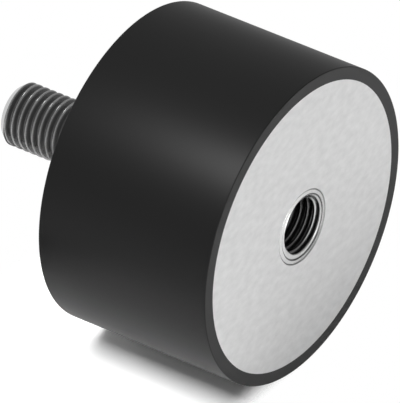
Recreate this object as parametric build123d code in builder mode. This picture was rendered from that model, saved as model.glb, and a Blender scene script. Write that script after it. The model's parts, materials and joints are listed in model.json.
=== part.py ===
"""Cylindrical rubber buffer with a threaded stud at one end and a tapped bush at the other.

It stands on its bush end with the stud up. The origin is the centre of the bush face, on the floor.
The rubber is moulded round two steel plates, which lie flush in its ends. Each plate carries a turned
insert whose neck is swaged into it: a blind tapped bush below and a headed stud above.
All sizes are in millimetres.
"""

import os
from math import radians, tan

from build123d import *

# Rubber body
body_diameter = 50.0
body_height = 30.0
rubber_cover = 2.0
body_edge_chamfer = 0.2

# Steel plates, the same in both ends
plate_thickness = 2.0
plate_edge_chamfer = 0.5

# Fine metric thread, the same on the stud and in the bush
thread_diameter = 10.0
thread_pitch = 1.25

# Necks of the inserts, which fill the hole of their plate and end flush with its outer face
neck_wall = 1.0
seam_chamfer = 0.15

# Tapped bush
bush_shoulder = 2.0
bush_length = 14.0
bush_end_chamfer = 0.6
tapped_depth = 10.0
drill_point_angle = 118.0
mouth_radius = 0.2
punch_mark_offset = 0.95
punch_mark_width = 0.4
punch_mark_depth = 0.2

# Stud
stud_length = 21.9
tip_chamfer_width = 0.8
tip_chamfer_length = 1.0
head_shoulder = 3.0
head_thickness = 3.5
head_edge_chamfer = 0.6

# Share of the pitch that a cut internal thread takes off each side of its bore
internal_thread_share = 0.5413

# Radii and levels worked out from the sizes above
body_radius = body_diameter / 2
plate_radius = body_radius - rubber_cover
thread_radius = thread_diameter / 2
bore_radius = thread_radius - internal_thread_share * thread_pitch
neck_radius = thread_radius + neck_wall
punch_mark_radius = bore_radius + punch_mark_offset
bush_radius = neck_radius + bush_shoulder
head_radius = neck_radius + head_shoulder
drill_point_depth = bore_radius / tan(radians(drill_point_angle / 2))
stud_plate_back = body_height - plate_thickness
stud_end = body_height + stud_length
middle = Plane.XY.offset(body_height / 2)


def rim(radius, height):
    """The circular edge of the part in hand that has this radius and lies at this height."""
    level = edges().filter_by(GeomType.CIRCLE).filter_by_position(Axis.Z, height, height)
    return level.filter_by(lambda edge: abs(edge.radius - radius) < 0.001)


# Blanked disc of a plate, before its hole: the edge that faces the rubber is broken
with BuildPart() as disc:
    with BuildSketch():
        Circle(plate_radius)
    extrude(amount=plate_thickness)
    chamfer(rim(plate_radius, plate_thickness), length=plate_edge_chamfer)

# Plate of the bush end: on the outer face, its hole and the insert's neck leave a shallow seam
with BuildPart() as bush_plate:
    add(disc.part)
    Hole(radius=neck_radius)
    chamfer(rim(neck_radius, 0), length=seam_chamfer)
bush_plate.part.label = "bush_plate"

# Plate of the stud end: the same plate turned over
with BuildPart() as stud_plate:
    mirror(bush_plate.part, about=middle)
stud_plate.part.label = "stud_plate"

# Turned outside of the bush: neck in the plate, shoulder against its back, chamfered inner end
with BuildPart() as bush_blank:
    with BuildSketch(Plane.XZ):
        with BuildLine():
            Polyline(
                (0, 0),
                (neck_radius, 0),
                (neck_radius, plate_thickness),
                (bush_radius, plate_thickness),
                (bush_radius, bush_length),
                (0, bush_length),
                close=True,
            )
        make_face()
    revolve(axis=Axis.Z)
    chamfer(rim(bush_radius, bush_length), length=bush_end_chamfer)

# Finished bush: blind drilled bore for the thread, rounded mouth, and the ring that the swaging punch
# pressed into the end of the neck to spread it in the plate
with BuildPart() as threaded_bush:
    add(bush_blank.part)
    with BuildSketch(Plane.XZ):
        with BuildLine():
            Polyline(
                (0, 0),
                (bore_radius, 0),
                (bore_radius, tapped_depth),
                (0, tapped_depth + drill_point_depth),
                close=True,
            )
        make_face()
    revolve(axis=Axis.Z, mode=Mode.SUBTRACT)
    fillet(rim(bore_radius, 0), radius=mouth_radius)
    chamfer(rim(neck_radius, 0), length=seam_chamfer)
    with BuildSketch(Plane.XZ):
        with BuildLine():
            Polyline(
                (punch_mark_radius - punch_mark_width / 2, 0),
                (punch_mark_radius + punch_mark_width / 2, 0),
                (punch_mark_radius, punch_mark_depth),
                close=True,
            )
        make_face()
    revolve(axis=Axis.Z, mode=Mode.SUBTRACT)
threaded_bush.part.label = "threaded_bush"

# Stud: flat head in the rubber, neck in the plate, shank at the thread's outer diameter, chamfered tip
with BuildPart() as threaded_stud:
    with BuildSketch(Plane.XZ):
        with BuildLine():
            Polyline(
                (0, stud_plate_back - head_thickness),
                (head_radius, stud_plate_back - head_thickness),
                (head_radius, stud_plate_back),
                (neck_radius, stud_plate_back),
                (neck_radius, body_height),
                (thread_radius, body_height),
                (thread_radius, stud_end - tip_chamfer_length),
                (thread_radius - tip_chamfer_width, stud_end),
                (0, stud_end),
                close=True,
            )
        make_face()
    revolve(axis=Axis.Z)
    chamfer(rim(head_radius, stud_plate_back - head_thickness), length=head_edge_chamfer)
    chamfer(rim(neck_radius, body_height), length=seam_chamfer)
threaded_stud.part.label = "threaded_stud"

# Rubber, moulded round the plates and inserts: it covers the plates' rims and fills all between them
with BuildPart() as rubber_body:
    with BuildSketch():
        Circle(body_radius)
    extrude(amount=body_height)
    chamfer(rim(body_radius, 0), length=body_edge_chamfer)
    chamfer(rim(body_radius, body_height), length=body_edge_chamfer)
    add(disc.part, mode=Mode.SUBTRACT)
    mirror(disc.part, about=middle, mode=Mode.SUBTRACT)
    add(bush_blank.part, mode=Mode.SUBTRACT)
    add(threaded_stud.part, mode=Mode.SUBTRACT)
rubber_body.part.label = "rubber_body"

os.makedirs("parts", exist_ok=True)
export_step(rubber_body.part, "parts/rubber_body.step")
export_step(bush_plate.part, "parts/bush_plate.step")
export_step(threaded_bush.part, "parts/threaded_bush.step")
export_step(stud_plate.part, "parts/stud_plate.step")
export_step(threaded_stud.part, "parts/threaded_stud.step")
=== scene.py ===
# %% [markdown]
# # A rubber buffer, modelled and finished by hand
#
# A rubber buffer keeps the shaking of a machine away from its frame. A cylinder of black rubber is moulded
# round two zinc-plated steel plates. One plate carries a tapped bush, the other a threaded stud.
# The measured solids come in as a fixed frame. This lesson models the five pieces again with Blender's own
# tools, so that their edges are rounded and their threads are real helices, and then gives each its finish.

import json
from math import atan2, cos, pi, radians, sin

import bmesh
import bpy
from mathutils import Matrix, Vector


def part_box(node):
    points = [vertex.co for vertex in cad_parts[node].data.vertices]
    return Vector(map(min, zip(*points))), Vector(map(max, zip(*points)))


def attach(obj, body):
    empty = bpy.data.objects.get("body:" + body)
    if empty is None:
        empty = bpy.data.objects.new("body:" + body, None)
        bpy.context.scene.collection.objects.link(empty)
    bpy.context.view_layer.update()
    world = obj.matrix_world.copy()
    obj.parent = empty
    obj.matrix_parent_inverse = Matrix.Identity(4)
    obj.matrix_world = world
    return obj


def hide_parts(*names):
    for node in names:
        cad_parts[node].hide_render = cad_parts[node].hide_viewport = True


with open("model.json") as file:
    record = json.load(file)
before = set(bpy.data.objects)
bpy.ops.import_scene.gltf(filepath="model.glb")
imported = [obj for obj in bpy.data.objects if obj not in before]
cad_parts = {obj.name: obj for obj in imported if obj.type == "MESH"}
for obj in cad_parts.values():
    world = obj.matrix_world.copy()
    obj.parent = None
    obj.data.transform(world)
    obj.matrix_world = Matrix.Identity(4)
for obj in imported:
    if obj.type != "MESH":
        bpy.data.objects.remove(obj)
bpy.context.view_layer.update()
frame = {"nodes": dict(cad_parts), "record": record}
print("solids in the frame:", sorted(frame["nodes"]))

# %% [markdown]
# ## Sizes
#
# Every length comes from the frame where the frame knows it: the boxes of the solids give the outside
# sizes, and the record's mounts give the radius of the stud and of the bore. Only what no solid shows gets
# a number of its own. Blender works in metres, so a value in millimetres is multiplied by MM.

# %% Sizes read from the frame
MM = 0.001
rubber_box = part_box("rubber_body")
plate_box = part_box("bush_plate")
bush_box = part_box("threaded_bush")
stud_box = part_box("threaded_stud")
mounts = {mount["name"]: mount for mount in frame["record"]["mounts"]}

body_radius = round(rubber_box[1].y, 5)
body_height = round(rubber_box[1].z, 5)
plate_radius = round(plate_box[1].y, 5)
plate_thickness = round(plate_box[1].z, 5)
bush_radius = round(bush_box[1].y, 5)
bush_length = round(bush_box[1].z, 5)
head_radius = round(stud_box[1].y, 5)
head_level = round(stud_box[0].z, 5)
stud_end = round(stud_box[1].z, 5)
thread_radius = mounts["stud"]["dims"]["r_mm"] * MM
bore_radius = mounts["bush_thread"]["dims"]["r_mm"] * MM
neck_wall = 1.0 * MM
neck_radius = thread_radius + neck_wall
thread_pitch = 1.25 * MM
tapped_depth = 10.0 * MM
round_steps = 192
print("buffer", body_radius / MM, body_height / MM, "plate", plate_radius / MM, plate_thickness / MM)

# %% [markdown]
# ## The camera
#
# The photograph shows the buffer lying on its side on a white ground, seen 35 degrees from above and turned
# 35 degrees away. It has no perspective. In the frame the buffer stands up, so here the camera tips over
# instead: ground_up is the direction that is up in the photograph, and it is level in the frame.
# A long lens from far off gives the flat view of the photograph and still works for close side views.

# %% Camera at the photograph's viewing angle
axis = Vector((0, 0, 1))
ground_turn = radians(226)
ground_up = Vector((cos(ground_turn), sin(ground_turn), 0))
ground_side = axis.cross(ground_up)

look_down = radians(34.86)
look_turn = radians(35.276)
level_back = -cos(look_turn) * ground_side - sin(look_turn) * axis
picture_right = sin(look_turn) * ground_side - cos(look_turn) * axis
picture_up = cos(look_down) * ground_up - sin(look_down) * level_back
to_camera = cos(look_down) * level_back + sin(look_down) * ground_up

image_height_px = 403
px_per_mm = 6.785
face_centre_right = 15.135 * MM
face_centre_down = 3.754 * MM
lens_mm = 1200
sensor_mm = 36
view_height = image_height_px / px_per_mm * MM
camera_distance = view_height * lens_mm / sensor_mm
aim = picture_up * face_centre_down - picture_right * face_centre_right

camera_data = bpy.data.cameras.new("camera")
camera_data.lens = lens_mm
camera_data.sensor_width = sensor_mm
camera = bpy.data.objects.new("camera", camera_data)
bpy.context.scene.collection.objects.link(camera)
camera.matrix_world = Matrix.Translation(aim + to_camera * camera_distance) @ (
    Matrix((picture_right, picture_up, to_camera)).transposed().to_4x4()
)
bpy.context.scene.camera = camera
print("camera", round(camera_distance, 3), "m away")

# %% [markdown]
# ## Helpers for materials
#
# A colour is written as it looks on screen, in sRGB hex, and one function turns it to the linear values
# that Blender works with. One function adds a node, with its settings and links, so that each material
# below reads as a list of what it is made of.

# %% Colour and node helpers
def linear(colour):
    channels = [int(colour[i : i + 2], 16) / 255 for i in (1, 3, 5)]
    return [c / 12.92 if c <= 0.04045 else ((c + 0.055) / 1.055) ** 2.4 for c in channels] + [1.0]


def add_node(tree, kind, settings=None, **inputs):
    """A node with its settings. An input is a value, a socket, or a node, which stands for its first output.

    An input is named by its socket, or by i and the socket's number.
    """
    node = tree.nodes.new(kind)
    for name, value in (settings or {}).items():
        setattr(node, name, value)
    for name, value in inputs.items():
        socket = node.inputs[int(name[1:])] if name[0] == "i" and name[1:].isdigit() else node.inputs[name]
        if isinstance(value, bpy.types.Node):
            value = value.outputs[0]
        if isinstance(value, bpy.types.NodeSocket):
            tree.links.new(value, socket)
        else:
            socket.default_value = value
    return node


def new_material(name):
    material = bpy.data.materials.new(name)
    material.use_nodes = True
    material.node_tree.nodes.clear()
    return material, material.node_tree


smooth_step = {"interpolation_type": "SMOOTHSTEP"}
multiply = {"operation": "MULTIPLY"}
larger = {"operation": "MAXIMUM"}
less = {"operation": "LESS_THAN"}
more = {"operation": "GREATER_THAN"}
clamped_minus = {"operation": "SUBTRACT", "use_clamp": True}
clamped_times = {"operation": "MULTIPLY", "use_clamp": True}
print("the grey #808080 is", round(linear("#808080")[0], 3), "in linear light")

# %% [markdown]
# ## Helpers for modelling
#
# An operator acts on whatever is selected, so each piece starts with everything deselected. A new primitive
# gets its name, and its place goes into its mesh, so that the finished object sits at the origin. Two more
# helpers do what the Tab key does: go into edit mode, and leave it.

# %% Start and edit a piece
def start_piece(name):
    """Names the primitive that was just added and puts its place into its mesh."""
    piece = bpy.context.object
    piece.name = name
    piece.data.name = name
    bpy.ops.object.transform_apply(location=True, rotation=True, scale=True)
    return piece


def edit(piece, kind="VERT"):
    if bpy.context.object and bpy.context.object.mode == "EDIT":
        bpy.ops.object.mode_set(mode="OBJECT")
    bpy.ops.object.select_all(action="DESELECT")
    piece.select_set(True)
    bpy.context.view_layer.objects.active = piece
    bpy.ops.object.mode_set(mode="EDIT")
    bpy.ops.mesh.select_mode(type=kind)
    bpy.ops.mesh.select_all(action="DESELECT")


def leave_edit():
    bpy.ops.object.mode_set(mode="OBJECT")


# %% [markdown]
# ## Helpers that pick faces and edges
#
# By hand, a face or an edge is picked with a click. In code it is found by where it is: a flat end by its
# height, a circle by its radius and height. Each test is a small function, so one pick serves all pieces.

# %% Pick by place
level_slack = 0.001 * MM
radius_slack = 0.02 * MM
flat_enough = 0.99


def pick(piece, kind, test):
    """Selects the faces or edges, seen in edit mode, that pass a test."""
    bpy.ops.mesh.select_all(action="DESELECT")
    bpy.ops.mesh.select_mode(type=kind)
    mesh = bmesh.from_edit_mesh(piece.data)
    found = [item for item in (mesh.faces if kind == "FACE" else mesh.edges) if test(item)]
    for item in found:
        item.select_set(True)
    bmesh.update_edit_mesh(piece.data)


def end_cap(level):
    """A test for the flat face that lies in the middle at this height."""
    middle = Vector((0, 0, level))
    return lambda face: abs(face.normal.z) > flat_enough and (
        (face.calc_center_median() - middle).length < level_slack
    )


def ring_edge(radius, level):
    """A test for the edges of the circle with this radius at this height."""
    return lambda edge: all(
        abs(v.co.xy.length - radius) < radius_slack and abs(v.co.z - level) < level_slack for v in edge.verts
    )


# %% [markdown]
# ## Helpers that finish a piece
#
# A modifier gets its settings and is applied at once, so that the mesh itself has the shape. Shading is
# smooth across small angles and stays sharp at real edges, as on pressed, moulded and turned parts.

# %% Modifiers and shading
sharp_angle = radians(30)


def apply_modifier(piece, kind, **settings):
    modifier = piece.modifiers.new(kind.lower(), kind)
    for name, value in settings.items():
        setattr(modifier, name, value)
    bpy.context.view_layer.objects.active = piece
    bpy.ops.object.modifier_apply(modifier=modifier.name)


def smooth(piece):
    bpy.ops.object.select_all(action="DESELECT")
    piece.select_set(True)
    bpy.context.view_layer.objects.active = piece
    bpy.ops.object.shade_smooth_by_angle(angle=sharp_angle)


# %% [markdown]
# ## The rubber body
#
# The real one is moulded in one shot round the plates and the inserts. It could be spun from a half-section,
# but a cylinder whose end caps are inset and pushed in shows the order of the pockets better: first the
# seat of the plate, then the seat of the insert behind it. The two outer edges leave the mould with a
# small radius, which catches the light.

# %% Rubber body
edge_round = 0.15 * MM
plate_edge_break = 0.5 * MM
bush_end_break = 0.6 * MM
head_break = 0.6 * MM

bpy.ops.object.select_all(action="DESELECT")
bpy.ops.mesh.primitive_cylinder_add(
    vertices=round_steps, radius=body_radius, depth=body_height, location=(0, 0, body_height / 2)
)
rubber = start_piece("moulded_rubber")


def sink_pocket(piece, level, radius_from, radius_to, depth):
    """Insets the end cap to a smaller radius and pushes it in by a depth, which may point up or down."""
    pick(piece, "FACE", end_cap(level))
    bpy.ops.mesh.inset(thickness=radius_from - radius_to)
    bpy.ops.mesh.extrude_region_move(TRANSFORM_OT_translate={"value": (0, 0, depth)})


edit(rubber, "FACE")
sink_pocket(rubber, 0, body_radius, plate_radius, plate_thickness)
sink_pocket(rubber, plate_thickness, plate_radius, bush_radius, bush_length - plate_thickness)
stud_plate_back = body_height - plate_thickness
sink_pocket(rubber, body_height, body_radius, plate_radius, -plate_thickness)
sink_pocket(rubber, stud_plate_back, plate_radius, head_radius, head_level - stud_plate_back)
for radius, level, width in (
    (plate_radius, plate_thickness, plate_edge_break),
    (plate_radius, stud_plate_back, plate_edge_break),
    (bush_radius, bush_length, bush_end_break),
    (head_radius, head_level, head_break),
):
    pick(rubber, "EDGE", ring_edge(radius, level))
    bpy.ops.mesh.bevel(offset=width, segments=1)
for level in (0, body_height):
    pick(rubber, "EDGE", ring_edge(body_radius, level))
    bpy.ops.mesh.bevel(offset=edge_round, segments=5)
leave_edit()
smooth(rubber)
apply_modifier(rubber, "WEIGHTED_NORMAL", keep_sharp=True)
print(rubber.name, len(rubber.data.polygons), "faces")

# %% [markdown]
# ## The two plates
#
# Each is a disc blanked from sheet steel, with a hole for the neck of its insert. A cylinder gets both caps
# inset to the hole, the two inner faces go, and a bridge between their rims makes the wall of the hole.
# The edge of the hole is a little rounded where the neck was swaged into it, so that a fine seam shows.

# %% Plates
seam_round = 0.12 * MM


def add_plate(name, low, face_level, back_level):
    bpy.ops.object.select_all(action="DESELECT")
    bpy.ops.mesh.primitive_cylinder_add(
        vertices=round_steps,
        radius=plate_radius,
        depth=plate_thickness,
        location=(0, 0, low + plate_thickness / 2),
    )
    plate = start_piece(name)
    edit(plate, "FACE")
    for level in (low, low + plate_thickness):
        pick(plate, "FACE", end_cap(level))
        bpy.ops.mesh.inset(thickness=plate_radius - neck_radius)
    pick(plate, "FACE", lambda face: end_cap(low)(face) or end_cap(low + plate_thickness)(face))
    bpy.ops.mesh.delete(type="ONLY_FACE")
    pick(plate, "EDGE", lambda edge: edge.is_boundary)
    bpy.ops.mesh.bridge_edge_loops()
    pick(plate, "EDGE", ring_edge(neck_radius, face_level))
    bpy.ops.mesh.bevel(offset=seam_round, segments=4)
    pick(plate, "EDGE", ring_edge(plate_radius, back_level))
    bpy.ops.mesh.bevel(offset=plate_edge_break, segments=1)
    bpy.ops.mesh.select_all(action="SELECT")
    bpy.ops.mesh.normals_make_consistent(inside=False)
    leave_edit()
    smooth(plate)
    apply_modifier(plate, "WEIGHTED_NORMAL", keep_sharp=True)
    print(plate.name, len(plate.data.polygons), "faces")
    return plate


bush_end_plate = add_plate("bush_end_plate", 0, 0, plate_thickness)
stud_end_plate = add_plate("stud_end_plate", stud_plate_back, body_height, stud_plate_back)

# %% [markdown]
# ## Turned blanks
#
# Both inserts are turned on a lathe, so they are spun here: one vertex is extruded along the half-section,
# and the chain is spun round the axis. The doubles at the seam and the poles are merged afterwards, and
# the normals are made to point outwards again.

# %% A lathe for the inserts
weld_distance = 0.001 * MM
arc_steps = 4


def draw_chain(name, points):
    """A new piece made of one vertex that is extruded along these (radius, height) points."""
    bpy.ops.object.select_all(action="DESELECT")
    bpy.ops.mesh.primitive_plane_add(size=1 * MM, location=(points[0][0], 0, points[0][1]))
    piece = start_piece(name)
    edit(piece)
    bpy.ops.mesh.select_all(action="SELECT")
    bpy.ops.mesh.merge(type="CENTER")
    for here, there in zip(points, points[1:]):
        step = (there[0] - here[0], 0, there[1] - here[1])
        bpy.ops.mesh.extrude_region_move(TRANSFORM_OT_translate={"value": step})
    bpy.ops.mesh.select_all(action="SELECT")
    return piece


def turn(name, outline):
    """Spins a half-section that starts and ends on the axis."""
    piece = draw_chain(name, outline)
    bpy.ops.mesh.spin(steps=round_steps, angle=2 * pi, center=(0, 0, 0), axis=(0, 0, 1))
    bpy.ops.mesh.select_all(action="SELECT")
    bpy.ops.mesh.remove_doubles(threshold=weld_distance)
    bpy.ops.mesh.normals_make_consistent(inside=False)
    leave_edit()
    return piece


def quarter(centre, radius, start, stop):
    """Points of an arc about (radius, height), between two angles in degrees."""
    angles = [radians(start + (stop - start) * i / arc_steps) for i in range(arc_steps + 1)]
    return [(centre[0] + radius * cos(a), centre[1] + radius * sin(a)) for a in angles]


# %% [markdown]
# ## The bush's blank
#
# The bush is turned from bar too, with a neck that fills the hole of its plate. When it is swaged in, the
# punch presses a fine ring round the mouth of the bore, and the metal of the neck flows out against the
# plate. So the half-section has a rounded mouth, a land, the ring, and a rounded rim that leaves a thin
# seam against the plate. The bore ends in the cone of the drill, which gives room for the tap.

# %% Bush blank
mouth_round = 0.2 * MM
neck_round = 0.25 * MM
neck_drop = 0.09 * MM
lip_radius = bore_radius + 0.35 * MM
punch_ring_radius = bore_radius + 0.95 * MM
punch_ring_depth = 0.2 * MM
punch_step = 0.06 * MM
punch_rim_drop = 0.01 * MM
# tangent of half the 118 degrees of a drill's point
drill_cone = 1.6643
drill_tip = tapped_depth + bore_radius / drill_cone

bush_outline = [(0, drill_tip), (bore_radius, tapped_depth)]
bush_outline += quarter((bore_radius + mouth_round, mouth_round), mouth_round, 180, 270)
bush_outline += [
    (lip_radius, 0),
    (punch_ring_radius, punch_ring_depth),
    (punch_ring_radius + punch_step, punch_rim_drop),
]
bush_outline += quarter((neck_radius - neck_round, neck_round + neck_drop), neck_round, 270, 360)
bush_outline += [
    (neck_radius, plate_thickness),
    (bush_radius, plate_thickness),
    (bush_radius, bush_length - bush_end_break),
    (bush_radius - bush_end_break, bush_length),
    (0, bush_length),
]
bush = turn("tapped_bush", bush_outline)
print(bush.name, len(bush.data.polygons), "faces")

# %% [markdown]
# ## The stud's blank
#
# The stud is turned from bar with a flat head that lies behind its plate, a neck that fills the plate's
# hole, and a shank of the thread's outer size. Its end is chamfered so that a nut starts easily. The thread
# comes later, because it is cut into the blank on the real one too.

# %% Stud blank
tip_chamfer_width = 0.8 * MM
tip_chamfer_length = 1.0 * MM
stud_outline = [
    (0, head_level),
    (head_radius - head_break, head_level),
    (head_radius, head_level + head_break),
    (head_radius, stud_plate_back),
    (neck_radius, stud_plate_back),
]
stud_outline += quarter((neck_radius - seam_round, body_height - seam_round), seam_round, 0, 90)
stud_outline += [
    (thread_radius, body_height),
    (thread_radius, stud_end - tip_chamfer_length),
    (thread_radius - tip_chamfer_width, stud_end),
    (0, stud_end),
]
stud = turn("threaded_stud_screw", stud_outline)
print(stud.name, len(stud.data.polygons), "faces")

# %% [markdown]
# ## Threads
#
# A thread is cut by a tool whose section is the groove, and which moves along as the work turns. A Screw
# modifier does the same: it sweeps the section of the groove along a helix, right-handed, and a Boolean
# takes that helix out of the turned blank. The helix is closed at both ends, because a Boolean needs a
# solid tool. So both threads have real crests, flanks and roots, and end as cut ones do.

# %% Helical cutter
steps_per_turn = 96
fine_weld = 0.0001 * MM


def helical_cutter(name, section, start_level, turns, start_angle):
    """A closed helix of this (radius, height) section, from a level and an angle about the axis."""
    cutter = draw_chain(name, section + section[:1])
    bpy.ops.mesh.remove_doubles(threshold=fine_weld)
    bpy.ops.transform.translate(value=(0, 0, start_level))
    bpy.ops.transform.rotate(value=start_angle, orient_axis="Z", center_override=(0, 0, 0))
    leave_edit()
    apply_modifier(
        cutter,
        "SCREW",
        axis="Z",
        angle=2 * pi,
        screw_offset=thread_pitch,
        iterations=turns,
        steps=steps_per_turn,
        render_steps=steps_per_turn,
    )
    edit(cutter)
    bpy.ops.mesh.select_all(action="SELECT")
    bpy.ops.mesh.fill_holes(sides=0)
    bpy.ops.mesh.normals_make_consistent(inside=False)
    leave_edit()
    return cutter


def cut(piece, tool):
    """Takes the tool's shape out of the piece and clears the tool away."""
    apply_modifier(piece, "BOOLEAN", operation="DIFFERENCE", object=tool, solver="EXACT")
    bpy.data.objects.remove(tool)


# %% [markdown]
# ## Thread of the stud
#
# The stud's thread is 1.25 mm from crest to crest. The section of its groove has a rounded root, flanks at
# 30 degrees to the square, and a small round at each crest, which is what catches the light. The groove
# starts almost two turns above the plate, since a die can't cut right up to a shoulder. It gets shallow at
# both ends, in less than half a turn, and the upper end stops at the chamfer.

# %% Section of the stud's groove
# tangent of the 30 degrees that a flank leans
flank_slope = 0.57735
groove_depth = 0.6134 * thread_pitch
groove_half = 7 / 16 * thread_pitch
stud_root_radius = thread_radius - groove_depth
root_rise = 0.03 * MM
root_half = 0.09 * MM
flank_foot = stud_root_radius + 0.1 * MM
flank_top = thread_radius - 0.09 * MM
crest_edge = thread_radius - 0.03 * MM
clear_of_stud = thread_radius + 0.3 * MM
crest_easing = (0.01 * MM, 0.04 * MM, 0.05 * MM)


def flank_half(radius):
    """Half the width of the stud's groove at this radius."""
    return groove_half - (thread_radius - radius) * flank_slope


stud_groove_side = [
    (stud_root_radius, 0.0),
    (stud_root_radius + root_rise, root_half),
    (flank_foot, flank_half(flank_foot)),
    (flank_top, flank_half(flank_top)),
    (crest_edge, flank_half(crest_edge) + crest_easing[0]),
    (thread_radius, flank_half(thread_radius) + crest_easing[1]),
    (clear_of_stud, flank_half(thread_radius) + crest_easing[2]),
]
stud_groove = stud_groove_side + [(r, -h) for r, h in reversed(stud_groove_side[1:])]
print("groove of the stud:", round(groove_depth / MM, 3), "mm deep,", len(stud_groove), "points")

# %% Stud thread
facing_angle = atan2(to_camera.y, to_camera.x)
stud_crest_level = 42.13 * MM
turns_below = 8
stud_turns = 15
run_out_steps = 40
stud_groove_start = stud_crest_level - turns_below * thread_pitch
stud_cutter = helical_cutter("stud_groove", stud_groove, stud_groove_start, stud_turns, facing_angle + pi)


def run_out(cutter, section_size, steps):
    """Lifts both ends of a helix outwards, little by little, so that its groove ends shallow."""
    rings = len(cutter.data.vertices) // section_size
    for vertex in cutter.data.vertices:
        ring = vertex.index // section_size
        to_end = min(ring, rings - 1 - ring)
        if to_end < steps:
            outwards = Vector((vertex.co.x, vertex.co.y, 0)).normalized()
            vertex.co += outwards * (1 - to_end / steps) * (thread_radius - stud_root_radius)
    print(cutter.name, "has", rings, "rings of", section_size)


run_out(stud_cutter, len(stud_groove), run_out_steps)
cut(stud, stud_cutter)
smooth(stud)
print(stud.name, len(stud.data.polygons), "faces")

# %% [markdown]
# ## Thread of the bush
#
# A tap cuts the same thread from the inside out, so this section grows outwards from the wall of the bore.
# The helix starts below the face, so that the first groove runs out through the rounded mouth, as it
# does on a tapped hole.

# %% Bush thread
bush_crest_level = 1.2 * MM
turns_outside = 2.5
bush_turns = 9
bush_root_radius = thread_radius + 0.06 * MM
bush_root_edge = thread_radius + 0.03 * MM
bush_root_half = thread_pitch / 16
bore_half = 3 / 8 * thread_pitch
crest_round = 0.06 * MM
clear_of_bore = bore_radius - 0.25 * MM
bore_easing = (0.02 * MM, 0.03 * MM)
bush_groove_side = [
    (bush_root_radius, 0.0),
    (bush_root_edge, bush_root_half),
    (bore_radius + crest_round, bore_half - crest_round * flank_slope),
    (bore_radius, bore_half + bore_easing[0]),
    (clear_of_bore, bore_half + bore_easing[1]),
]
bush_groove = bush_groove_side + [(r, -h) for r, h in reversed(bush_groove_side[1:])]
bush_groove_start = bush_crest_level - turns_outside * thread_pitch
bush_cutter = helical_cutter("bush_groove", bush_groove, bush_groove_start, bush_turns, facing_angle + pi)
cut(bush, bush_cutter)
smooth(bush)
print(bush.name, len(bush.data.polygons), "faces")

# %% [markdown]
# ## Finish of the rubber
#
# Black natural rubber from a smooth steel mould has a satin skin. It is nearly black, and what shows its
# shape is one wide, soft highlight along the cylinder. So the colour is a very dark grey, the roughness lies
# in the middle, and the reflection is weaker than on hard plastic, because the filled skin scatters light.
# A fine noise stands for the surface of the mould. One grain is half a millimetre wide and barely seen, but
# it keeps the highlight from looking painted on.

# %% Rubber material
grain_size = 0.5 * MM
grain_depth = 0.05 * MM

# gives the eye a dark satin skin with a wide soft highlight
rubber_skin, tree = new_material("natural_rubber_moulded")
place = add_node(tree, "ShaderNodeTexCoord")
grain = add_node(
    tree, "ShaderNodeTexNoise", {}, Vector=place.outputs["Object"], Scale=1 / grain_size, Detail=3.0
)
relief = add_node(tree, "ShaderNodeBump", {}, Strength=0.06, Distance=grain_depth, Height=grain)
skin = add_node(
    tree,
    "ShaderNodeBsdfPrincipled",
    {},
    **{
        "Base Color": linear("#121212"),
        "Roughness": 0.43,
        "IOR": 1.5,
        "Specular IOR Level": 0.25,
        "Normal": relief,
    },
)
add_node(tree, "ShaderNodeOutputMaterial", {}, Surface=skin)
print(rubber_skin.name, "with a grain of", grain_size / MM, "mm")

# %% [markdown]
# ## Finish of the plates
#
# The plates are blanked from rolled sheet and zinc-plated in a barrel. The zinc is matt and even, with a
# faint cloud of lighter and darker spots, about a millimetre wide and a little longer along the rolling
# direction. The noise is scaled by the size of one spot and stretched that way, and a ramp holds it
# between two greys that lie close together, so that the plate still reads as one plain surface.

# %% Plate material
cloud_size = 1.1 * MM
rolling_stretch = 1.7

# gives the eye pale matt metal with a faint cloud in it
plate_zinc, tree = new_material("zinc_plated_sheet_steel")
place = add_node(tree, "ShaderNodeTexCoord")
rolled = add_node(
    tree,
    "ShaderNodeMapping",
    {"vector_type": "TEXTURE"},
    Vector=place.outputs["Object"],
    Rotation=(0, 0, ground_turn),
    Scale=(1.0, rolling_stretch, 1.0),
)
cloud = add_node(tree, "ShaderNodeTexNoise", {}, Vector=rolled, Scale=1 / cloud_size, Detail=3.0)
tone = add_node(tree, "ShaderNodeValToRGB", {}, Fac=cloud)
tone.color_ramp.elements[0].position = 0.25
tone.color_ramp.elements[0].color = linear("#dbdbdb")
tone.color_ramp.elements[1].position = 0.75
tone.color_ramp.elements[1].color = linear("#e8e8e8")
sheet = add_node(
    tree, "ShaderNodeBsdfPrincipled", {}, **{"Base Color": tone, "Metallic": 1.0, "Roughness": 0.45}
)
add_node(tree, "ShaderNodeOutputMaterial", {}, Surface=sheet)
print(plate_zinc.name, "with spots of", cloud_size / MM, "mm")

# %% [markdown]
# ## Finish of the inserts
#
# The bush and the stud are turned from bar, threaded, and plated bright. A dark grey is mixed into the zinc
# as painted shade in the grooves and the bore, so that a groove looks darker than a crest. It could be
# painted on by hand, but a helix is long. So it goes by two measures that the shape gives anyway, the height
# and the distance from the axis. The faces and the chamfered tip get none of it.

# %% Places that the painted shade goes by
# gives the eye bright zinc on faces and crests, and painted shade in the grooves between them
insert_zinc, tree = new_material("zinc_plated_turned_steel")
place = add_node(tree, "ShaderNodeTexCoord").outputs["Object"]
height = add_node(tree, "ShaderNodeSeparateXYZ", {}, Vector=place).outputs["Z"]
across = add_node(tree, "ShaderNodeVectorMath", multiply, i0=place, i1=(1, 1, 0))
from_axis = add_node(tree, "ShaderNodeVectorMath", {"operation": "LENGTH"}, i0=across).outputs["Value"]
on_stud = add_node(tree, "ShaderNodeMath", more, i0=height, i1=body_height / 2)
print(insert_zinc.name, "is the stud's above", body_height / 2 / MM, "mm")
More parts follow.
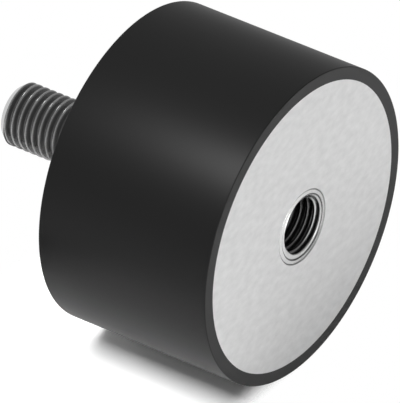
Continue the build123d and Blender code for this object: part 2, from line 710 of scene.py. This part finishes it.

# %% [markdown]
# ## Film in the bush
#
# The painted shade in the bore grows with the height above the face. In the first groove it starts sooner
# than on the first crest, and the ring that the punch pressed round the mouth gets some too. Each is a
# share between nought and one, and the largest of them counts.

# %% Painted shade in the bush
# painted shade: how much dark grey the bore, its first groove and the punched ring get, and from where
bore_shade = 0.9
bore_shade_start = 0.8 * MM
bore_shade_full = 1.25 * MM
mouth_shade_start = 0.25 * MM
mouth_shade_full = 0.5 * MM
groove_starts = bore_radius + 0.1 * MM
groove_deepens = bore_radius + 0.3 * MM
ring_shade = 0.8
ring_shade_start = 0.09 * MM
ring_shade_full = 0.18 * MM
ring_inside = 5.05 * MM

# a Map Range takes its value, then from and to of that value, then from and to of what comes out
bore = add_node(
    tree, "ShaderNodeMapRange", smooth_step, i0=height, i1=bore_shade_start, i2=bore_shade_full, i4=bore_shade
)
mouth = add_node(
    tree, "ShaderNodeMapRange", smooth_step, i0=height, i1=mouth_shade_start, i2=mouth_shade_full, i4=bore_shade
)
groove = add_node(tree, "ShaderNodeMapRange", smooth_step, i0=from_axis, i1=groove_starts, i2=groove_deepens)
first_groove = add_node(tree, "ShaderNodeMath", multiply, i0=mouth, i1=groove)
ring = add_node(
    tree, "ShaderNodeMapRange", smooth_step, i0=height, i1=ring_shade_start, i2=ring_shade_full, i4=ring_shade
)
outside = add_node(tree, "ShaderNodeMath", more, i0=from_axis, i1=ring_inside)
pressed_ring = add_node(tree, "ShaderNodeMath", multiply, i0=ring, i1=outside)
in_bore = add_node(tree, "ShaderNodeMath", larger, i0=bore, i1=first_groove)
bush_shade = add_node(tree, "ShaderNodeMath", larger, i0=in_bore, i1=pressed_ring)
print("the bore's film is full", bore_shade_full / MM, "mm in")

# %% [markdown]
# ## Film on the stud
#
# On the stud the painted shade goes by the distance from the axis, full in the root and thin on the crest,
# so that the roots look dark and the crests light. It ends at the chamfered tip, which is as pale as a face.

# %% Painted shade on the stud
# painted shade: full in the thread's roots, less of it on the crests, none on the chamfered tip
crest_shade = 0.42
stud_shade_full = 4.72 * MM
stud_shade_end = 4.95 * MM
tip_chamfer_start = stud_end - tip_chamfer_length

thread_shade = add_node(
    tree,
    "ShaderNodeMapRange",
    smooth_step,
    i0=from_axis,
    i1=stud_shade_full,
    i2=stud_shade_end,
    i3=1.0,
    i4=crest_shade,
)
below_tip = add_node(tree, "ShaderNodeMath", less, i0=height, i1=tip_chamfer_start)
shank_shade = add_node(tree, "ShaderNodeMath", multiply, i0=thread_shade, i1=below_tip)
stud_shade = add_node(tree, "ShaderNodeMath", multiply, i0=shank_shade, i1=on_stud)
print("the stud's film is full at a radius of", stud_shade_full / MM, "mm")

# %% [markdown]
# ## Metal of the inserts
#
# Zinc on turned steel is smoother than on rolled sheet, so its roughness is lower than that of the plates.
# The painted shade mixes a dark grey into its pale colour. On the stud the same share also takes a little
# from the metal look, so that the shaded roots scatter light where metal would only mirror it.

# %% Insert material
# the pale grey is the zinc's own colour, the dark grey is painted shade for the grooves and the bore
unshaded_zinc = linear("#d8d8d8")
painted_shade_grey = linear("#5e5e5e")
shaded_metallic = 0.7

# the share of painted shade, from the bush's masks below the middle and the stud's above it
painted_shade = add_node(tree, "ShaderNodeMix", {"data_type": "FLOAT"}, i0=on_stud, i2=bush_shade, i3=stud_shade)
tone = add_node(tree, "ShaderNodeMix", {"data_type": "RGBA"}, i0=painted_shade, i6=unshaded_zinc, i7=painted_shade_grey)
# where the stud gets painted shade it also looks less metallic
metal_share = add_node(tree, "ShaderNodeMapRange", {}, i0=stud_shade, i3=1.0, i4=shaded_metallic)
turned = add_node(
    tree,
    "ShaderNodeBsdfPrincipled",
    {},
    **{"Base Color": tone.outputs[2], "Metallic": metal_share, "Roughness": 0.25},
)
add_node(tree, "ShaderNodeOutputMaterial", {}, Surface=turned)
print(insert_zinc.name, "with a film in", len(tree.nodes), "nodes")

# %% [markdown]
# ## The floor that it stands on
#
# The buffer rests on a plain white floor. Near it the floor is a diffuse white that takes the soft shadow.
# Further out that white turns smoothly into a plain white of strength one, which is also the white of the
# world behind it, so no horizon is seen from any side. The floor's back is clear, because the
# photograph's camera looks at the buffer from below the level of this floor.

# %% Floor
floor_size = 12
floor_gap = 0.2 * MM
shadow_reach = 60 * MM
white_reach = 240 * MM


def show_where(tree, share, paint):
    """Ends a material that shows the paint where the share is one and is clear where it is nought."""
    clear = add_node(tree, "ShaderNodeBsdfTransparent")
    shown = add_node(tree, "ShaderNodeMixShader", {}, Fac=share, i1=clear, i2=paint)
    add_node(tree, "ShaderNodeOutputMaterial", {}, Surface=shown)


# gives the eye a white that takes a soft shadow; above one, it stays white in weak light
floor_white = (1.25, 1.25, 1.25, 1.0)
floor_paint, tree = new_material("pale_floor")
rays = add_node(tree, "ShaderNodeLightPath")
side = add_node(tree, "ShaderNodeNewGeometry")
place = add_node(tree, "ShaderNodeTexCoord").outputs["Object"]
away = add_node(tree, "ShaderNodeVectorMath", {"operation": "LENGTH"}, i0=place).outputs["Value"]
far_share = add_node(tree, "ShaderNodeMapRange", smooth_step, i0=away, i1=shadow_reach, i2=white_reach)
near_white = add_node(tree, "ShaderNodeBsdfDiffuse", {}, Color=floor_white)
far_white = add_node(tree, "ShaderNodeEmission", {}, Color=linear("#ffffff"), Strength=1.0)
paint = add_node(tree, "ShaderNodeMixShader", {}, Fac=far_share, i1=near_white, i2=far_white)
seen_from_above = add_node(
    tree, "ShaderNodeMath", clamped_minus, i0=rays.outputs["Is Camera Ray"], i1=side.outputs["Backfacing"]
)
show_where(tree, seen_from_above, paint)

bpy.ops.object.select_all(action="DESELECT")
bpy.ops.mesh.primitive_plane_add(size=floor_size, location=(0, 0, -floor_gap))
floor = bpy.context.object
floor.name = "resting_floor"
floor.data.materials.append(floor_paint)
print("floor is white from", white_reach / MM, "mm outwards")

# %% [markdown]
# ## The ground of the photograph
#
# In the photograph the buffer lies on its side, and its shadow falls on the ground under its flank. So that
# the picture shows this too, a patch of white ground lies along the flank. Only the photograph's camera
# meets it: that camera looks through the clear back of the resting floor first, which Light Path counts
# as one transparent step, and a camera above the floor has made no such step yet.

# %% Ground of the picture
def add_ground(name, paint, drop, near, far, low, high):
    """A sheet under the buffer as it lies: near and far run across its axis, low and high along it."""
    bpy.ops.object.select_all(action="DESELECT")
    bpy.ops.mesh.primitive_plane_add(
        size=1,
        location=(near + far) / 2 * ground_side + (low + high) / 2 * axis - (body_radius + drop) * ground_up,
        rotation=Matrix((ground_side, axis, ground_up)).transposed().to_euler(),
    )
    bpy.context.object.scale = (far - near, high - low, 1)
    sheet = start_piece(name)
    sheet.data.materials.append(paint)
    return sheet


# gives the eye a white ground, a little over one too, that fades out towards the camera
ground_fade_start = -0.5 * MM
ground_fade_end = 4.2 * MM
ground_white = (1.3, 1.3, 1.3, 1.0)
picture_paint, tree = new_material("white_picture_ground")
rays = add_node(tree, "ShaderNodeLightPath")
side = add_node(tree, "ShaderNodeNewGeometry")
place = add_node(tree, "ShaderNodeTexCoord").outputs["Object"]
height = add_node(tree, "ShaderNodeSeparateXYZ", {}, Vector=place).outputs["Z"]
fade = add_node(tree, "ShaderNodeMapRange", smooth_step, i0=height, i1=ground_fade_start, i2=ground_fade_end)
through_floor = add_node(
    tree,
    "ShaderNodeMath",
    clamped_times,
    i0=rays.outputs["Is Camera Ray"],
    i1=rays.outputs["Transparent Depth"],
)
upper_side = add_node(tree, "ShaderNodeMath", clamped_minus, i0=through_floor, i1=side.outputs["Backfacing"])
share = add_node(tree, "ShaderNodeMath", multiply, i0=upper_side, i1=fade)
show_where(tree, share, add_node(tree, "ShaderNodeBsdfDiffuse", {}, Color=ground_white))
picture_ground = add_ground(
    "picture_ground", picture_paint, drop=0, near=-60 * MM, far=0, low=-12 * MM, high=50 * MM
)
print(picture_ground.name, "fades in over", round((ground_fade_end - ground_fade_start) / MM, 1), "mm")

# %% [markdown]
# ## What only reflections see
#
# In the photograph the metal mirrors the ground with the shadow in it, which is why the plate darkens
# towards the ground. A second sheet, for reflections alone, does this from every side. A grey card past
# the end of the stud keeps the white of the studio off the stud's underside, as a photographer's card does.

# %% Sheets that only reflections see
# gives the metal a ground with a shadow to mirror, laid over the white of the room by its share
mirrored_share = 0.6
mirrored_white = (1.15, 1.15, 1.15, 1.0)
mirrored_paint, tree = new_material("white_mirrored_ground")
rays = add_node(tree, "ShaderNodeLightPath")
side = add_node(tree, "ShaderNodeNewGeometry")
upper_side = add_node(
    tree, "ShaderNodeMath", clamped_minus, i0=rays.outputs["Is Glossy Ray"], i1=side.outputs["Backfacing"]
)
share = add_node(tree, "ShaderNodeMath", multiply, i0=upper_side, i1=mirrored_share)
show_where(tree, share, add_node(tree, "ShaderNodeBsdfDiffuse", {}, Color=mirrored_white))
mirrored_ground = add_ground(
    "mirrored_ground", mirrored_paint, drop=0.1 * MM, near=-60 * MM, far=70 * MM, low=-70 * MM, high=43 * MM
)

# gives the stud's underside something dark to mirror
card_paint, tree = new_material("grey_card")
rays = add_node(tree, "ShaderNodeLightPath")
card = add_node(tree, "ShaderNodeBsdfDiffuse", {}, Color=linear("#444444"))
show_where(tree, rays.outputs["Is Glossy Ray"], card)
grey_card = add_ground(
    "grey_card", card_paint, drop=0.2 * MM, near=-60 * MM, far=30 * MM, low=44 * MM, high=75 * MM
)
print("stage:", floor.name, picture_ground.name, mirrored_ground.name, grey_card.name)

# %% [markdown]
# ## The studio round it
#
# What metal and satin rubber show is the room round them. It could be a picture of a studio, but a few
# directions do: a white sweep on the side that the plate faces, a pale one behind the stud, and dim walls
# elsewhere, a little lighter on one side, so that threads and edges get dark and light bands.

# %% The room
dim_wall = 0.26
light_wall = 0.44
pale_sweep = 0.82
plate_sweep_full = 0.42
stud_sweep_start = 0.43
stud_sweep_full = 0.8
toward = {"operation": "DOT_PRODUCT"}
plate_side = (-0.70 * ground_up - 0.41 * ground_side - 0.584 * axis).normalized()
stud_side = (-0.6 * ground_up + 0.2 * ground_side + 0.77 * axis).normalized()

world = bpy.data.worlds.new("studio")
bpy.context.scene.world = world
world.use_nodes = True
tree = world.node_tree
tree.nodes.clear()
ray = add_node(tree, "ShaderNodeTexCoord").outputs["Generated"]
to_plate = add_node(tree, "ShaderNodeVectorMath", toward, i0=ray, i1=tuple(plate_side)).outputs["Value"]
to_stud = add_node(tree, "ShaderNodeVectorMath", toward, i0=ray, i1=tuple(stud_side)).outputs["Value"]
sideways = add_node(tree, "ShaderNodeVectorMath", toward, i0=ray, i1=tuple(ground_side)).outputs["Value"]
plate_sweep = add_node(
    tree, "ShaderNodeMapRange", smooth_step, i0=to_plate, i1=0.0, i2=plate_sweep_full, i3=dim_wall, i4=1.0
)
stud_sweep = add_node(
    tree,
    "ShaderNodeMapRange",
    smooth_step,
    i0=to_stud,
    i1=stud_sweep_start,
    i2=stud_sweep_full,
    i3=dim_wall,
    i4=pale_sweep,
)
walls = add_node(
    tree, "ShaderNodeMapRange", smooth_step, i0=sideways, i1=-1.0, i2=1.0, i3=dim_wall, i4=light_wall
)
sweeps = add_node(tree, "ShaderNodeMath", larger, i0=plate_sweep, i1=stud_sweep)
room = add_node(tree, "ShaderNodeMath", larger, i0=sweeps, i1=walls)
print("walls from", dim_wall, "to", light_wall, "and a sweep of", pale_sweep, "behind the stud")

# %% [markdown]
# ## What each kind of ray sees
#
# Only reflections see that room. The camera sees a plain white background of strength one, as in the
# photograph. Diffuse light from the room is weak, so that the lamps make the shape.

# %% Background and fill
room_fill = 0.3
white = linear("#ffffff")
rays = add_node(tree, "ShaderNodeLightPath")
filled = add_node(tree, "ShaderNodeBackground", {}, Color=white, Strength=room_fill)
mirrored = add_node(tree, "ShaderNodeBackground", {}, Color=white, Strength=room)
seen = add_node(tree, "ShaderNodeBackground", {}, Color=white, Strength=1.0)
lit = add_node(tree, "ShaderNodeMixShader", {}, Fac=rays.outputs["Is Glossy Ray"], i1=filled, i2=mirrored)
sky = add_node(tree, "ShaderNodeMixShader", {}, Fac=rays.outputs["Is Camera Ray"], i1=lit, i2=seen)
add_node(tree, "ShaderNodeOutputWorld", {}, Surface=sky)
bpy.context.scene.view_settings.view_transform = "Standard"
print("world with", len(tree.nodes), "nodes")

# %% [markdown]
# ## Lamps
#
# One large softbox up and to the left of the camera makes the shape and the soft shadow. One over the
# stud's end lights the buffer as it stands. A softbox's level is the light that a white surface turned to it
# gives back, so that its size and distance can be changed at the same brightness.

# %% Large softboxes
def add_softbox(name, place, aim, size, level):
    """A square lamp of this size that gives a surface at its aim, turned to it, this level of light."""
    reach = (place - aim).length
    data = bpy.data.lights.new(name, "AREA")
    data.shape = "SQUARE"
    data.size = size
    # light falls off with the square of the distance, so the power grows with it
    data.energy = level * pi**2 * reach**2
    lamp = bpy.data.objects.new(name, data)
    bpy.context.scene.collection.objects.link(lamp)
    lamp.location = place
    lamp.rotation_euler = (place - aim).to_track_quat("Z", "Y").to_euler()
    lamp.visible_camera = False
    print(name, "at", round(reach / MM), "mm")
    return lamp


body_middle = Vector((0, 0, body_height / 2))
key_distance = 0.4
key_direction = (0.805 * ground_up - 0.545 * ground_side + 0.235 * axis).normalized()
key_place = body_middle + key_distance * key_direction
key = add_softbox("key_softbox", key_place, body_middle, size=0.13, level=0.9)
key.visible_glossy = False
overhead_height = 0.7
overhead = add_softbox("overhead_softbox", overhead_height * axis, body_middle, size=0.4, level=0.55)
overhead.visible_glossy = False

# %% [markdown]
# ## Lamps for the rubber
#
# The rubber has one bright streak near the plate and a flat rim that is a little lighter than its flank. A
# small softbox close by gives the streak, and a wide one on the far side lifts the rim. Each lights the
# rubber alone, as if a flag stood in front of the rest. That keeps the levels of the metal as they are.

# %% Streak and rim
def light_only(lamp, piece):
    """Keeps a lamp's light on one piece, as a photographer does with a flag in front of it."""
    lit = bpy.data.collections.new("lit_by_" + lamp.name)
    lit.objects.link(piece)
    lamp.light_linking.receiver_collection = lit


streak_place = 68 * MM * ground_up - 46 * MM * ground_side + 21 * MM * axis
streak_aim = 16 * MM * ground_up - 19 * MM * ground_side + 5 * MM * axis
light_only(add_softbox("near_softbox", streak_place, streak_aim, size=24 * MM, level=0.62), rubber)

face_middle = Vector((0, 0, 0))
rim_distance = 0.3
rim_direction = (-0.577 * ground_up + 0.669 * ground_side - 0.468 * axis).normalized()
rim_place = rim_distance * rim_direction
light_only(add_softbox("rim_softbox", rim_place, face_middle, size=0.25, level=0.13), rubber)

# %% [markdown]
# ## Lamps for the metal
#
# Metal shows a lamp as a mirror does. A wide pair at the sides is mirrored in the plate on top when the
# buffer is seen standing, and two weak small ones put a glint on the stud's thread and on the mouth of the
# bore. They could be one large lamp, but it would wash the dark grooves out.

# %% Pair for the upper plate
plate_top = Vector((0, 0, body_height))
pair_distance = 0.6
pair_direction = Vector((-0.64, 0.64, 0.36)).normalized()
for name, sign in (("plate_softbox_near", 1), ("plate_softbox_far", -1)):
    direction = Vector((sign * pair_direction.x, sign * pair_direction.y, pair_direction.z))
    place = plate_top + pair_distance * direction
    light_only(add_softbox(name, place, plate_top, size=0.5, level=0.13), stud_end_plate)

# %% Glints
stud_middle = 42 * MM * axis
stud_glint_distance = 0.25
stud_glint = (0.834 * ground_up + 0.272 * ground_side + 0.468 * axis).normalized()
stud_glint_place = stud_middle + stud_glint_distance * stud_glint
light_only(add_softbox("stud_softbox", stud_glint_place, stud_middle, size=0.05, level=0.05), stud)

face_glint_distance = 0.2
face_glint = (-0.22 * ground_up + 0.27 * ground_side - 0.94 * axis).normalized()
face_glint_place = face_glint_distance * face_glint
light_only(add_softbox("face_softbox", face_glint_place, face_middle, size=0.03, level=0.05), bush)

# %% [markdown]
# ## Putting the pieces in the frame
#
# Each finished piece takes the place of its measured solid and gets its material. The buffer has no
# joint, so all five ride on the root.

# %% Ride and materials
for piece, node, slot, material in (
    (rubber, "rubber_body", "rubber", rubber_skin),
    (bush_end_plate, "bush_plate", "plate_zinc", plate_zinc),
    (stud_end_plate, "stud_plate", "plate_zinc", plate_zinc),
    (bush, "threaded_bush", "insert_zinc", insert_zinc),
    (stud, "threaded_stud", "insert_zinc", insert_zinc),
):
    piece.data.materials.append(material)
    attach(piece, "root")
    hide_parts(node)
